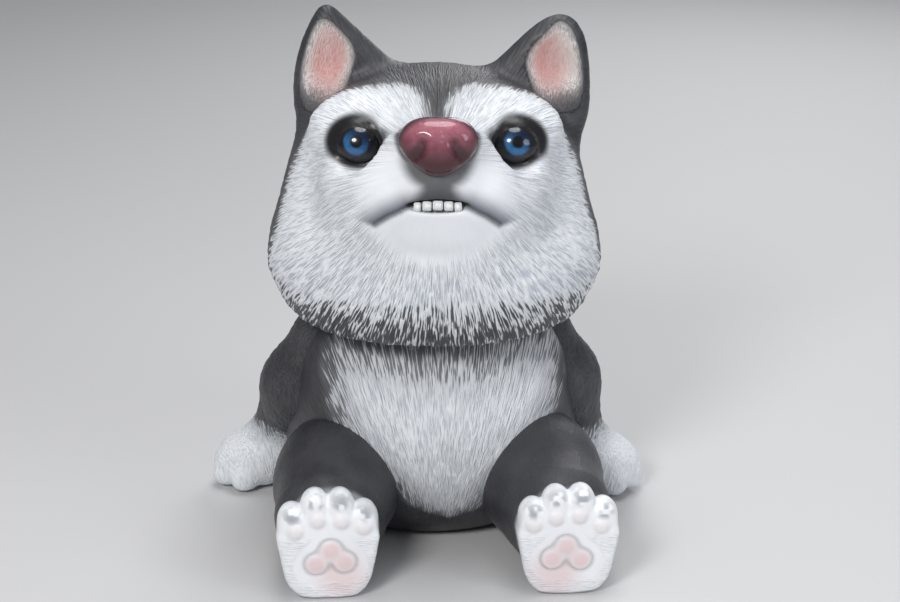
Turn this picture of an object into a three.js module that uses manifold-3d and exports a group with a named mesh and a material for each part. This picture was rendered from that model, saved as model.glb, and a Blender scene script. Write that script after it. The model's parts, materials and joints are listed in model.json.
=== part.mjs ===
// A husky puppy coin bank in soft vinyl: a hollow head that turns on a hollow body, moulded limbs,
// clear eyes and a rubber stopper in the base.
// Millimetres, +Z up, the face towards -Y, +X on the puppy's own left.
import * as THREE from "three";
import { mergeVertices } from "three/addons/utils/BufferGeometryUtils.js";
import Module from "manifold-3d";

const wasm = await Module();
wasm.setup();

// ---------------------------------------------------------------- driving dimensions
const WALL = 3; // vinyl wall
const GAP = 0.3; // clearance between pieces that touch
const SHOULDER_Z = 92; // flat top of the body, where the head sits
const HEAD_GAP = 0.6; // between the body's top and the head's underside
const NECK_Y = -2; // the neck's vertical axis, in front of the body's axis
const NECK_R = 24.5; // outside of the head's neck tube
const NECK_BORE_R = 21; // coins drop through this
const HEAD_TURN = -3.5; // degrees, the face turned a little to the puppy's right
const EYE_R = 8.3; // clear dome
const EYE_AT = [30, -46, 176]; // middle of the left eye's dome foot
const EYE_AIM = [0.34, -0.83, 0.44]; // the way the left eye looks
const NOSE_AT = [0, -80, 183.6];
const MOUTH_AT = [0, -76.5, 160];
const SLOT = { width: 36, height: 5, z: 158 }; // coin slot in the back of the head
const BASE_Z = 1.8; // underside of the body, above its pads
const HATCH_R = 20; // hole for the stopper
const PAD = { radius: 5, thickness: 1.5, x: 33, y: 17 };
const PAWS = { left_arm: [75, 13, 14.5], right_arm: [-76, 29, 14] }; // middles of the front paws
const SOLES = { left_leg: -87.5, right_leg: -85 }; // the flat faces of the hind feet
const FOOT_X = 47.5;
const EARS = {
  left: { outer: 63.5, curl: 0.005, inner: [42.5, 213.8], tip: 22, hollow: [49, 196] },
  right: { outer: 57.5, curl: 0.0085, inner: [47, 225.5], tip: 8, hollow: [46, 198] },
};

const VINYL_GREY = { color: 0x46474d, roughness: 0.75 };
const VINYL_WHITE = { color: 0xe4e7ec, roughness: 0.7 };

// ---------------------------------------------------------------- distance functions
// Each takes a point [x, y, z] and gives a signed distance, negative inside.

function ellipsoid([cx, cy, cz], [rx, ry, rz]) {
  return ([x, y, z]) => {
    const u = (x - cx) / rx;
    const v = (y - cy) / ry;
    const w = (z - cz) / rz;
    const k = Math.hypot(u, v, w);
    const g = Math.hypot(u / rx, v / ry, w / rz);
    return g < 1e-9 ? -Math.min(rx, ry, rz) : (k * (k - 1)) / g;
  };
}

// A cone with round ends, from a with radius ra to b with radius rb.
function roundCone(a, ra, b, rb) {
  const axis = b.map((value, i) => value - a[i]);
  const length2 = axis.reduce((sum, value) => sum + value * value, 0);
  return (p) => {
    const along = p.reduce((sum, value, i) => sum + (value - a[i]) * axis[i], 0) / length2;
    const t = Math.min(1, Math.max(0, along));
    return Math.hypot(...p.map((value, i) => value - a[i] - t * axis[i])) - ra - t * (rb - ra);
  };
}

// The greater of two distances, rounded over k where they meet.
function smoothMax(k, a, b) {
  const h = Math.max(k - Math.abs(a - b), 0) / k;
  return Math.max(a, b) + (h * h * k) / 4;
}

// Smooth union: the surfaces run into each other over about k.
function blend(k, ...shapes) {
  return (p) =>
    shapes
      .map((shape) => shape(p))
      .reduce((a, b) => {
        const h = Math.max(k - Math.abs(a - b), 0) / k;
        return Math.min(a, b) - (h * h * k) / 4;
      });
}

// Keeps what lies behind the plane through `at` that faces along `normal`, with an edge rounded over k.
function flatten(shape, at, normal, k) {
  return (p) => {
    const b = p.reduce((sum, value, i) => sum + (value - at[i]) * normal[i], 0);
    return smoothMax(k, shape(p), b);
  };
}

const mirrored = (side, [x, y, z]) => [side * x, y, z];

// ---------------------------------------------------------------- solids

function solidOf(geometry) {
  geometry.deleteAttribute("normal");
  geometry.deleteAttribute("uv");
  const merged = mergeVertices(geometry, 1e-4);
  return new wasm.Manifold(
    new wasm.Mesh({
      numProp: 3,
      vertProperties: merged.attributes.position.array,
      triVerts: new Uint32Array(merged.index.array),
    }),
  );
}

function geometryOf(solid) {
  const mesh = solid.getMesh();
  const geometry = new THREE.BufferGeometry();
  geometry.setAttribute("position", new THREE.BufferAttribute(mesh.vertProperties, 3));
  geometry.setIndex(new THREE.BufferAttribute(mesh.triVerts, 1));
  return geometry;
}

// A ball whose vertices are pulled in along their rays from `centre` until they meet the shape.
function sculpt(shape, centre, detail) {
  const REACH = 150;
  const STEP = 0.7;
  const geometry = new THREE.IcosahedronGeometry(1, detail);
  const position = geometry.attributes.position;
  const direction = new THREE.Vector3();
  const point = (r) => direction.toArray().map((value, i) => centre[i] + value * r);
  for (let i = 0; i < position.count; i++) {
    direction.fromBufferAttribute(position, i).normalize();
    let r = REACH;
    for (let d = shape(point(r)); d > 0.01 && r > 0; d = shape(point(r))) r -= STEP * d;
    position.setXYZ(i, ...point(r));
  }
  return solidOf(geometry);
}

const grown = (shape, amount) => (p) => shape(p) - amount;

// A solid turned about its own +Z axis, from a profile of [radius, height] pairs that goes up the outside.
function turned(profile, segments = 24) {
  const points = profile.map(([r, h]) => new THREE.Vector2(r, h));
  const geometry = new THREE.LatheGeometry(points, segments);
  geometry.rotateX(Math.PI / 2);
  return geometry;
}

function disc(radius, low, high, segments = 24) {
  return turned(
    [
      [0, low],
      [radius, low],
      [radius, high],
      [0, high],
    ],
    segments,
  );
}

function ring(inner, outer, low, high, segments = 32) {
  return turned(
    [
      [inner, low],
      [outer, low],
      [outer, high],
      [inner, high],
      [inner, low],
    ],
    segments,
  );
}

// Puts a turned geometry's foot at `at`, with its +Z along `aim`.
function aimed(geometry, at, aim) {
  const up = new THREE.Vector3(0, 0, 1);
  const turn = new THREE.Quaternion().setFromUnitVectors(up, new THREE.Vector3(...aim).normalize());
  return geometry.applyQuaternion(turn).translate(...at);
}

function slab(width, depth, height, [x, y, z]) {
  return solidOf(new THREE.BoxGeometry(width, depth, height).translate(x, y, z));
}

// Everything above or below a height, as a block big enough to cut any piece.
const above = (z) => slab(400, 400, 200, [0, 0, z + 100]);
const below = (z) => slab(400, 400, 200, [0, 0, z - 100]);

// ---------------------------------------------------------------- body shell

const BODY_CENTRE = [0, 0, 46];

const bodyShape = blend(
  16,
  ellipsoid([0, 4, 38], [62, 45, 42]),
  ellipsoid([0, 6, 18], [57, 43, 22]),
  ellipsoid([0, 0, 68], [56, 43, 39]),
  ellipsoid([0, -10, 46], [46, 38, 38]),
);

// The sockets where the limbs and tail plug into the body.
const SOCKET_R = 10;
const SOCKETS = {
  left_arm: { at: [58, 5, 62], aim: [0.96, 0.08, 0.28], core: 4 },
  right_arm: { at: [-58, 5, 62], aim: [-0.96, 0.08, 0.28], core: 4 },
  left_leg: { at: [35, -34, 29], aim: [0.42, -0.9, -0.05], core: 36 },
  right_leg: { at: [-35, -34, 29], aim: [-0.42, -0.9, -0.05], core: 36 },
  tail: { at: [0, 49.5, 27], aim: [0, 1, 0], core: 5 },
};

// The body's wall, with its outside and inside moved by `growth`, so that neighbours can be cut to clear it.
function bodyWall(growth) {
  const outside = sculpt(grown(bodyShape, growth), BODY_CENTRE, 8)
    .subtract(above(SHOULDER_Z + growth))
    .subtract(below(BASE_Z - growth));
  const inside = sculpt(grown(bodyShape, -WALL - growth), BODY_CENTRE, 5)
    .subtract(above(SHOULDER_Z - WALL - growth))
    .subtract(below(BASE_Z + 3 * WALL + growth));
  let wall = outside.subtract(inside);
  for (const { at, aim } of Object.values(SOCKETS)) {
    wall = wall.subtract(solidOf(aimed(disc(SOCKET_R - growth, -12, 15, 16), at, aim)));
  }
  return wall;
}

function bodyShell() {
  const neckHole = solidOf(ring(0, NECK_R + 0.5, 80, 100).translate(0, NECK_Y, 0));
  const hatch = solidOf(disc(HATCH_R, -5, 20, 32));
  const hatchSeat = solidOf(disc(HATCH_R + 4.5, -5, BASE_Z + 3.6, 32));
  return bodyWall(0).subtract(neckHole).subtract(hatch).subtract(hatchSeat);
}

const clearOfBody = bodyWall(GAP);
const bodyFilled = sculpt(grown(bodyShape, GAP), BODY_CENTRE, 8);

// A limb cut to the body's outside, with a cored, flanged plug that snaps through its socket.
function plugged(limb, { at, aim, core }) {
  const NECK = SOCKET_R - 2 * GAP;
  const flange = solidOf(aimed(disc(NECK + 2.5, -7.5, -4, 16), at, aim));
  const neck = solidOf(aimed(disc(NECK, -7.5, 6, 16), at, aim));
  const bore = solidOf(aimed(disc(NECK - 3, -12, core, 16), at, aim));
  return limb.subtract(bodyFilled).add(neck).add(flange).subtract(clearOfBody).subtract(bore);
}

// ---------------------------------------------------------------- limbs and tail

function arm(side) {
  const name = side > 0 ? "left_arm" : "right_arm";
  const at = (x, y, z) => mirrored(side, [x, y, z]);
  const [x, y, z] = PAWS[name];
  const shape = blend(
    9,
    roundCone(at(43, 4, 76), 17, at(55, 8, 55), 16),
    roundCone(at(55, 8, 55), 16, [x * 0.84, y * 0.88, z + 14], 12.5),
    ellipsoid([x - side * 3, y, z], [14.5, 14, 14]),
    ellipsoid([x + side * 7, y, z - 2.5], [10.5, 9.5, 9]),
  );
  const solid = sculpt(shape, [x * 0.84, y * 0.8, 36], 5)
    .subtract(above(SHOULDER_Z - 1))
    .subtract(below(GAP));
  return plugged(solid, SOCKETS[name]);
}

// The flat front of a hind foot, narrower towards the floor.
function soleBlock(side, sole) {
  return ([x, y, z]) => {
    const half = Math.min(20.4, Math.max(15.6, 15.6 + z * 0.185));
    const upright = smoothMax(13, Math.abs(side * x - FOOT_X) - half, Math.abs(z - 18) - 19);
    return smoothMax(4, upright, Math.abs(y - sole - 9) - 10);
  };
}

function leg(side) {
  const name = side > 0 ? "left_leg" : "right_leg";
  const sole = SOLES[name];
  const at = (x, y, z) => mirrored(side, [x, y, z]);
  const toes = [
    [-14, 32.8],
    [-4.9, 37.9],
    [4.9, 38.1],
    [14, 32.3],
  ].map(([x, z]) => ellipsoid(at(FOOT_X + x, sole + 6.5, z), [5.9, 8.5, 7.6]));
  const shape = blend(
    3,
    blend(
      11,
      ellipsoid(at(42, -28, 27), [25, 30, 27]),
      roundCone(at(43, -40, 26), 23, at(46, -60, 24), 20.5),
      roundCone(at(46, -60, 22.5), 19, at(FOOT_X, sole + 13, 19.5), 15),
    ),
    soleBlock(side, sole),
    ...toes,
  );
  const solid = sculpt(flatten(shape, [0, sole, 0], [0, -1, 0], 2), at(46, -64, 24), 9);
  return plugged(solid.subtract(below(GAP)), SOCKETS[name]);
}

function tail() {
  const shape = blend(
    10,
    roundCone([0, 46, 26], 11, [4, 57, 25], 11),
    roundCone([4, 57, 25], 11, [9, 61, 42], 12.5),
    roundCone([9, 61, 42], 12.5, [4, 58, 62], 6),
  );
  return plugged(sculpt(shape, [6, 59, 38], 4), SOCKETS.tail);
}

// ---------------------------------------------------------------- head shell

const HEAD_CENTRE = [0, -14, 145];
const HEAD_Z = SHOULDER_Z + HEAD_GAP;

const skull = blend(
  18,
  ellipsoid([0, -4, 150], [60, 53, 46]),
  ellipsoid([28, -10, 121], [40, 46, 30]),
  ellipsoid([-28, -10, 121], [40, 46, 30]),
  ellipsoid([0, -32, 124], [46, 35, 30]),
  ellipsoid([0, 8, 120], [44, 38, 32]),
  ellipsoid([0, -10, 106], [55, 45, 16]),
);

const muzzle = blend(
  8,
  roundCone([0, -34, 152], 36, [0, -64, 174], 17),
  ellipsoid([0, -58, 149], [27, 15, 13]),
  ellipsoid([13, -65, 161], [14, 10.5, 10]),
  ellipsoid([-13, -65, 161], [14, 10.5, 10]),
  roundCone([8, -66, 176], 9, [23, -50, 158], 13),
  roundCone([-8, -66, 176], 9, [-23, -50, 158], 13),
);

const headShape = blend(
  14,
  skull,
  ellipsoid([24, -30, 181], [23, 17, 11]),
  ellipsoid([-24, -30, 181], [23, 17, 11]),
  muzzle,
);

// A pointed ear: a plate, thicker at its foot, between a curled outer edge and a sloping inner one,
// with its front hollowed.
function ear(side, { outer, curl, inner, tip, hollow }) {
  const plate = ([x, y, z]) => {
    const rise = Math.min(Math.max(z - 184, 0), 40);
    const drop = Math.min(Math.max(182 - z, 0), 24);
    const upright = side * x - outer + curl * rise ** 2 + 0.012 * drop ** 2;
    const slope = (z - inner[1] - (side * x - inner[0])) * Math.SQRT1_2;
    const halfThickness = Math.min(11, Math.max(4.5, 4.5 + (222 - z) * 0.115));
    const plate = Math.abs(y - 6 + (z - 190) * 0.03) - halfThickness;
    return Math.max(smoothMax(9, smoothMax(tip, upright, slope), plate), 158 - z);
  };
  const middle = [side * hollow[0], -9, hollow[1]];
  const scoop = sculpt(ellipsoid(middle, [13, 11.5, 24]), middle, 3);
  return sculpt(plate, [side * 42, 7, 190], 8).subtract(scoop);
}

function headShell() {
  const outside = sculpt(headShape, HEAD_CENTRE, 10)
    .add(ear(1, EARS.left))
    .add(ear(-1, EARS.right))
    .subtract(below(HEAD_Z));
  const inside = sculpt(grown(skull, -WALL - 1), HEAD_CENTRE, 5).subtract(below(HEAD_Z + WALL));
  const neck = solidOf(disc(NECK_R, SHOULDER_Z - 6.5, HEAD_Z + WALL - 1, 32).translate(0, NECK_Y, 0));
  const FLANGE_R = NECK_R + 3.5;
  const FLANGE_TOP = SHOULDER_Z - WALL - 0.5;
  const flange = solidOf(disc(FLANGE_R, SHOULDER_Z - 6.5, FLANGE_TOP, 32).translate(0, NECK_Y, 0));
  const bore = solidOf(disc(NECK_BORE_R, SHOULDER_Z - 10, HEAD_Z + 10, 32).translate(0, NECK_Y, 0));
  const slot = slab(SLOT.width, 30, SLOT.height, [0, 50, SLOT.z]);
  let shell = outside.subtract(inside).add(neck).add(flange).subtract(bore).subtract(slot);
  for (const side of [1, -1]) {
    shell = shell.subtract(solidOf(eyePiece(disc(EYE_R + 1.2 + GAP, -7, 14), side)));
  }
  return shell.subtract(mouthRecess());
}

function mouthRecess() {
  const [x, y, z] = MOUTH_AT;
  return sculpt(ellipsoid([x, y, z], [12.5, 6.5, 3.6]), MOUTH_AT, 4);
}

// ---------------------------------------------------------------- eyes, nose and teeth

function eyePiece(geometry, side) {
  return aimed(geometry, mirrored(side, EYE_AT), mirrored(side, EYE_AIM));
}

// A black cup with a raised rim, which holds the iris and the clear dome.
function eyeCup() {
  const R = EYE_R + 1.2;
  return turned([
    [0, -5.5],
    [R, -5.5],
    [R, 1.2],
    [EYE_R + GAP, 1.2],
    [EYE_R + GAP, -2],
    [0, -2],
  ]);
}

const irisDisc = () => disc(EYE_R - 0.3, -1.7, -0.9);

function eyeDome() {
  const RISE = 5.4;
  const STEPS = 6;
  const profile = [
    [0, -0.6],
    [EYE_R, -0.6],
  ];
  for (let i = 0; i < STEPS; i++) {
    const angle = (i / STEPS) * (Math.PI / 2);
    profile.push([EYE_R * Math.cos(angle), RISE * Math.sin(angle)]);
  }
  return turned([...profile, [0, RISE]]);
}

function nose() {
  const [x, y, z] = NOSE_AT;
  const shape = blend(
    6,
    ellipsoid([x, y + 0.5, z + 2.5], [9, 7.5, 8.5]),
    ellipsoid([x + 7, y + 1.5, z + 2.6], [7.8, 6.5, 7.8]),
    ellipsoid([x - 7, y + 1.5, z + 2.6], [7.8, 6.5, 7.8]),
    ellipsoid([x, y + 1, z - 4], [7.8, 6.5, 6.8]),
  );
  let solid = sculpt(shape, NOSE_AT, 4).subtract(sculpt(grown(headShape, GAP), HEAD_CENTRE, 10));
  for (const side of [1, -1]) {
    const nostril = [x + side * 7.2, y - 7, z + 1];
    solid = solid.subtract(sculpt(ellipsoid(nostril, [2, 3, 3]), nostril, 2));
  }
  return solid;
}

// Five upper teeth on one moulded strip, which stands in the mouth.
function teeth() {
  const [x, y, z] = MOUTH_AT;
  const WIDTHS = [3.2, 3.8, 4.4, 3.8, 3.2];
  const TOP = 2.1;
  const shape = new THREE.Shape();
  let edge = -WIDTHS.reduce((a, b) => a + b) / 2;
  shape.moveTo(edge, TOP);
  for (const width of WIDTHS) {
    shape.lineTo(edge + 0.2, -1.6);
    shape.lineTo(edge + width - 0.3, -1.8);
    shape.lineTo(edge + width, TOP - 1.2);
    edge += width;
  }
  shape.lineTo(edge, TOP);
  shape.closePath();
  const strip = new THREE.ExtrudeGeometry(shape, { depth: 1.6, bevelEnabled: false });
  strip.rotateX(Math.PI / 2).translate(x, y + 2.6, z);
  const socket = sculpt(ellipsoid(MOUTH_AT, [12.5, 6.5, 3.6].map((r) => r - GAP)), MOUTH_AT, 4);
  return solidOf(strip).intersect(socket);
}

// ---------------------------------------------------------------- stopper and pads

// A push-in rubber stopper with a sealing lip. Its face is sunk above the pads, with two finger grooves.
function stopper() {
  const FACE = BASE_Z + 0.9;
  const SEAT = BASE_Z + 3.6 - GAP;
  const body = solidOf(
    turned(
      [
        [0, FACE],
        [HATCH_R + 4, FACE],
        [HATCH_R + 4, SEAT],
        [HATCH_R - 0.6, SEAT],
        [HATCH_R - 0.6, 11.4],
        [HATCH_R - 2.4, 15.4],
        [0, 15.4],
      ],
      32,
    ),
  );
  const hollow = solidOf(disc(HATCH_R - 4.5, 9, 20, 32));
  const grooves = [-1, 1].map((side) => slab(22, 5.5, 5, [0, side * 6, FACE + 1]));
  return body.subtract(hollow).subtract(grooves[0]).subtract(grooves[1]);
}

// ---------------------------------------------------------------- assembly

function piece(name, geometry, look) {
  const mesh = new THREE.Mesh(geometry, new THREE.MeshStandardMaterial({ metalness: 0, ...look }));
  mesh.name = name;
  return mesh;
}

const bank = new THREE.Group();
bank.add(piece("body_shell", geometryOf(bodyShell()), VINYL_GREY));
bank.add(piece("tail", geometryOf(tail()), VINYL_GREY));
bank.add(piece("stopper", geometryOf(stopper()), { color: 0x1b1b1c, roughness: 0.85 }));

// The head group turns about the neck's axis.
const head = new THREE.Group();
const turn = new THREE.Group();
turn.position.set(0, NECK_Y, 0);
turn.rotation.z = THREE.MathUtils.degToRad(HEAD_TURN);
head.position.set(0, -NECK_Y, 0);
turn.add(head);
bank.add(turn);
head.add(piece("head_shell", geometryOf(headShell()), VINYL_WHITE));
head.add(piece("nose", geometryOf(nose()), { color: 0xb06074, roughness: 0.2 }));
head.add(piece("upper_teeth", geometryOf(teeth()), { color: 0xf4f6f8, roughness: 0.3 }));

for (const [name, side] of [
  ["left", 1],
  ["right", -1],
]) {
  bank.add(piece(name + "_arm", geometryOf(arm(side)), VINYL_GREY));
  bank.add(piece(name + "_leg", geometryOf(leg(side)), VINYL_GREY));
  head.add(piece(name + "_eye_cup", eyePiece(eyeCup(), side), { color: 0x101114, roughness: 0.4 }));
  head.add(piece(name + "_iris", eyePiece(irisDisc(), side), { color: 0x2f7fc4, roughness: 0.4 }));
  head.add(piece(name + "_eye_dome", eyePiece(eyeDome(), side), { color: 0xdde8f2, roughness: 0.03 }));
}

for (const [row, y] of [
  ["front", -PAD.y],
  ["rear", PAD.y],
]) {
  for (const [name, side] of [
    ["left", 1],
    ["right", -1],
  ]) {
    const foot = disc(PAD.radius, 0, PAD.thickness, 20);
    const pad = piece(`${row}_${name}_pad`, foot, { color: 0x2a2a2c, roughness: 0.95 });
    pad.position.set(side * PAD.x, y + 4, 0);
    bank.add(pad);
  }
}

// The frame's origin is the middle of the whole bank's footprint, on the table.
const object = new THREE.Group();
object.add(bank);
const extent = new THREE.Box3().setFromObject(bank);
bank.position.set(-(extent.min.x + extent.max.x) / 2, -(extent.min.y + extent.max.y) / 2, 0);

export default object;
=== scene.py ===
"""Looks for the husky puppy coin bank: sculpted, airbrushed vinyl with raised fur, glossy eyes and nose.

Shapes are signed distance functions in millimetres, in the part's own construction frame, whose
origin is on the table under the middle of the stopper. Each is meshed, stroked with fur, given
paint masks and moved to the row frame.
"""

import json
import math

import bmesh
import bpy
import numpy as np
from mathutils import Matrix, Quaternion, Vector


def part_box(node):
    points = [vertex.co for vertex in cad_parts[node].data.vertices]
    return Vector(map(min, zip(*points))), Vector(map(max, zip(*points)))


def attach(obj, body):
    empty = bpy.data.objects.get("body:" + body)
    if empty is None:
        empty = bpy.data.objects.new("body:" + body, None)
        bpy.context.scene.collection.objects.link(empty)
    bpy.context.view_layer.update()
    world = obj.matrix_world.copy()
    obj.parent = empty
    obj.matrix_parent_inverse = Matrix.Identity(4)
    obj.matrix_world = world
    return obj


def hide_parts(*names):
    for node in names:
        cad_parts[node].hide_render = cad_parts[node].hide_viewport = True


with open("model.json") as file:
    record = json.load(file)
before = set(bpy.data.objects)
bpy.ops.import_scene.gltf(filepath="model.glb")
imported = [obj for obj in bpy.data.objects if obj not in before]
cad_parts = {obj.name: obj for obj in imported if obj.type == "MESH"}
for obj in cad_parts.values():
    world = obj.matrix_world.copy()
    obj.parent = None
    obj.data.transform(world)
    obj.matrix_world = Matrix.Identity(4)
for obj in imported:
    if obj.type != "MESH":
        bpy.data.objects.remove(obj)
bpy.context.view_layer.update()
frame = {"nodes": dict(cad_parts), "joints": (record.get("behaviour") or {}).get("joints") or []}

MM = 0.001
HEAD_TURN = math.radians(-3.5)  # the face looks a little to the puppy's right

stopper_low, stopper_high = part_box("stopper")
middle = (stopper_low + stopper_high) / 2
SHIFT = np.array([middle.x, middle.y, 0]) / MM
neck_joint = next(joint for joint in frame["joints"] if joint["name"] == "head_turn")
NECK = np.array(neck_joint["pos_m"]) / MM - SHIFT


# ---------------------------------------------------------------- distance functions


def smooth_min(k, d, e):
    """The lesser of two distances, rounded over k where they meet."""
    h = np.maximum(k - np.abs(d - e), 0) / k
    return np.minimum(d, e) - h * h * k / 4


def smooth_max(k, d, e):
    """The greater of two distances, rounded over k where they meet."""
    h = np.maximum(k - np.abs(d - e), 0) / k
    return np.maximum(d, e) + h * h * k / 4


def ellipsoid(centre, radii):
    centre, radii = np.array(centre, float), np.array(radii, float)

    def distance(p):
        q = (p - centre) / radii
        k = np.linalg.norm(q, axis=1)
        return k * (k - 1) / (np.linalg.norm(q / radii, axis=1) + 1e-9)

    return distance


def round_cone(a, ra, b, rb):
    a, b = np.array(a, float), np.array(b, float)
    axis = b - a

    def distance(p):
        t = np.clip((p - a) @ axis / (axis @ axis), 0, 1)
        return np.linalg.norm(p - a - t[:, None] * axis, axis=1) - ra - t * (rb - ra)

    return distance


def blend(k, *shapes):
    """Smooth union: the surfaces run into each other over about k."""

    def distance(p):
        d = shapes[0](p)
        for shape in shapes[1:]:
            d = smooth_min(k, d, shape(p))
        return d

    return distance


def carve(k, shape, *tools):
    """The shape less each tool, with the edge softened over k."""

    def distance(p):
        d = shape(p)
        for tool in tools:
            d = smooth_max(k, d, -tool(p))
        return d

    return distance


def keep_below(k, shape, axis, limit, sign=1):
    """The part of the shape where sign * coordinate < limit, with the edge softened over k."""
    return lambda p: smooth_max(k, shape(p), sign * p[:, axis] - limit)


def grown(shape, amount):
    return lambda p: shape(p) - amount


def chain(points, radius):
    """Capsules through the points."""
    return blend(0.5, *[round_cone(a, radius, b, radius) for a, b in zip(points[:-1], points[1:])])


def mirror(points):
    return [(-x, y, z) for x, y, z in points]


# ---------------------------------------------------------------- meshing

STROKE_DEPTH = 0.32


def sample(shape, low, high, step):
    """The distance at every grid point, worked out only in blocks near the surface."""
    block = 8
    blocks = np.ceil((np.array(high) - low) / (step * block)).astype(int)
    index = np.stack(np.meshgrid(*[np.arange(n) for n in blocks], indexing="ij"), -1).reshape(-1, 3)
    centres = low + (index * block + (block - 1) / 2) * step
    coarse = shape(centres)
    near = np.abs(coarse) < block * step * 1.5
    values = np.empty((len(index), block**3), np.float32)
    values[:] = coarse[:, None]
    local = np.stack(np.meshgrid(*[np.arange(block)] * 3, indexing="ij"), -1).reshape(-1, 3)
    chosen = np.where(near)[0]
    for group in np.array_split(chosen, max(1, len(chosen) // 600)):
        points = low + (index[group][:, None] * block + local) * step
        values[group] = shape(points.reshape(-1, 3)).reshape(len(group), -1)
    values = values.reshape(*blocks, block, block, block).transpose(0, 3, 1, 4, 2, 5)
    return values.reshape(blocks * block)


CORNERS = np.array([(i, j, k) for i in (0, 1) for j in (0, 1) for k in (0, 1)])
EDGES = [(a, b) for a in range(8) for b in range(a + 1, 8) if np.abs(CORNERS[a] - CORNERS[b]).sum() == 1]


def gradient(shape, p, reach=0.1):
    slope = np.empty_like(p)
    for axis in range(3):
        offset = np.zeros(3)
        offset[axis] = reach
        slope[:, axis] = shape(p + offset) - shape(p - offset)
    return slope / (np.linalg.norm(slope, axis=1)[:, None] + 1e-9)


def surface(shape, low, high, step):
    """Vertices and quads of the shape's surface, by surface nets, settled onto the surface."""
    low = np.array(low, float)
    values = sample(shape, low, high, step)
    inside = values < 0
    size = np.array(values.shape) - 1
    count = np.zeros(size, np.int8)
    for i, j, k in CORNERS:
        count += inside[i : size[0] + i, j : size[1] + j, k : size[2] + k]
    cells = np.argwhere((count > 0) & (count < 8))
    corner_values = np.stack([values[tuple((cells + c).T)] for c in CORNERS], 1)
    total = np.zeros((len(cells), 3))
    crossings = np.zeros(len(cells))
    for a, b in EDGES:
        va, vb = corner_values[:, a], corner_values[:, b]
        crosses = (va < 0) != (vb < 0)
        t = np.where(crosses, va / np.where(crosses, va - vb, 1), 0)
        total += crosses[:, None] * (CORNERS[a] + t[:, None] * (CORNERS[b] - CORNERS[a]))
        crossings += crosses
    vertices = low + (cells + total / crossings[:, None]) * step
    number = np.full(size, -1, np.int32)
    number[tuple(cells.T)] = np.arange(len(cells))
    quads = []
    for axis in range(3):
        u, v = [(1, 2), (2, 0), (0, 1)][axis]
        here = inside.take(range(size[axis]), axis)
        there = inside.take(range(1, size[axis] + 1), axis)
        at = np.argwhere(here != there)
        at = at[(at[:, u] > 0) & (at[:, v] > 0) & (at[:, u] < size[u]) & (at[:, v] < size[v])]
        du, dv = np.zeros(3, int), np.zeros(3, int)
        du[u], dv[v] = 1, 1
        ring = [number[tuple((at - o).T)] for o in (du + dv, dv, np.zeros(3, int), du)]
        ring = np.stack(ring, 1)
        outward = here[tuple(at.T)]
        ring[~outward] = ring[~outward][:, ::-1]
        quads.append(ring)
    for _ in range(2):
        vertices -= gradient(shape, vertices) * np.clip(shape(vertices), -step, step)[:, None]
    return vertices, np.concatenate(quads)


def lattice_noise(q, seed):
    """Smooth value noise, 0 to 1, one feature a unit."""
    table = np.random.default_rng(seed).random(4096)
    cell = np.floor(q).astype(np.int64)
    t = q - cell
    t = t * t * (3 - 2 * t)
    total = np.zeros(len(q))
    for corner in CORNERS:
        i, j, k = (cell + corner).T
        weight = np.prod(np.where(corner, t, 1 - t), axis=1)
        total += weight * table[(i * 73856093 ^ j * 19349663 ^ k * 83492791) & 4095]
    return total


def stroke_height(flow):
    """Fur ridges along the flow, -1 to 1."""
    height = 0.5 * lattice_noise(flow / 1.4, 3) + 0.5 * lattice_noise(flow / 0.8, 5)
    return np.clip((height - 0.5) * 4.5, -1, 1)


def smooth(edge0, edge1, x):
    """0 to 1 as x goes from edge0 to edge1, either way round, with soft ends."""
    t = np.clip((x - edge0) / (edge1 - edge0), 0, 1)
    return t * t * (3 - 2 * t)


def mesh_object(name, vertices, faces):
    mesh = bpy.data.meshes.new(name)
    mesh.from_pydata(vertices.tolist(), [], faces.tolist())
    mesh.update()
    item = bpy.data.objects.new(name, mesh)
    bpy.context.scene.collection.objects.link(item)
    return item


def apply_modifiers(item):
    evaluated = item.evaluated_get(bpy.context.evaluated_depsgraph_get())
    mesh = bpy.data.meshes.new_from_object(evaluated)
    item.modifiers.clear()
    item.data = mesh


def cut_out(item, cutters):
    for cutter in cutters:
        modifier = item.modifiers.new("cut", "BOOLEAN")
        modifier.operation = "DIFFERENCE"
        modifier.solver = "MANIFOLD"
        modifier.object = cutter
    bpy.context.view_layer.update()
    apply_modifiers(item)
    for cutter in cutters:
        bpy.data.objects.remove(cutter)


def sculpted(name, shape, low, high, step, paint, material, to_row, cutters=()):
    """A meshed shape with fur strokes raised on it and its paint masks stored on its vertices."""
    vertices, faces = surface(shape, low, high, step)
    masks = paint(vertices)
    depth = STROKE_DEPTH * masks["fur"] * stroke_height(masks["flow"])
    vertices = vertices + gradient(shape, vertices) * depth[:, None]
    item = mesh_object(name, vertices, faces)
    if cutters:
        cut_out(item, cutters)
    store_masks(item.data, paint)
    item.data.shade_smooth()
    item.data.set_sharp_from_angle(angle=math.radians(50))
    item.data.transform(to_row)
    item.data.materials.clear()
    item.data.materials.append(material)
    return item


def store_masks(mesh, paint):
    vertices = np.empty(len(mesh.vertices) * 3)
    mesh.vertices.foreach_get("co", vertices)
    masks = paint(vertices.reshape(-1, 3))
    ones = np.ones(len(mesh.vertices))
    layers = {
        "coat": (masks["dark"], masks["black"], masks["pink"], masks["fur"]),
        # The second layer: grey, partly painted shade; cream; and painted shadow with the crown's tinge.
        "tint_and_shade": (masks["grey"], masks["cream"], masks.get("wash", 0 * ones), ones),
    }
    for name, parts in layers.items():
        layer = mesh.attributes.new(name, "FLOAT_COLOR", "POINT")
        layer.data.foreach_set("color", np.stack(parts, 1).astype(np.float32).ravel())
    layer = mesh.attributes.new("flow", "FLOAT_VECTOR", "POINT")
    layer.data.foreach_set("vector", masks["flow"].astype(np.float32).ravel())


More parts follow.
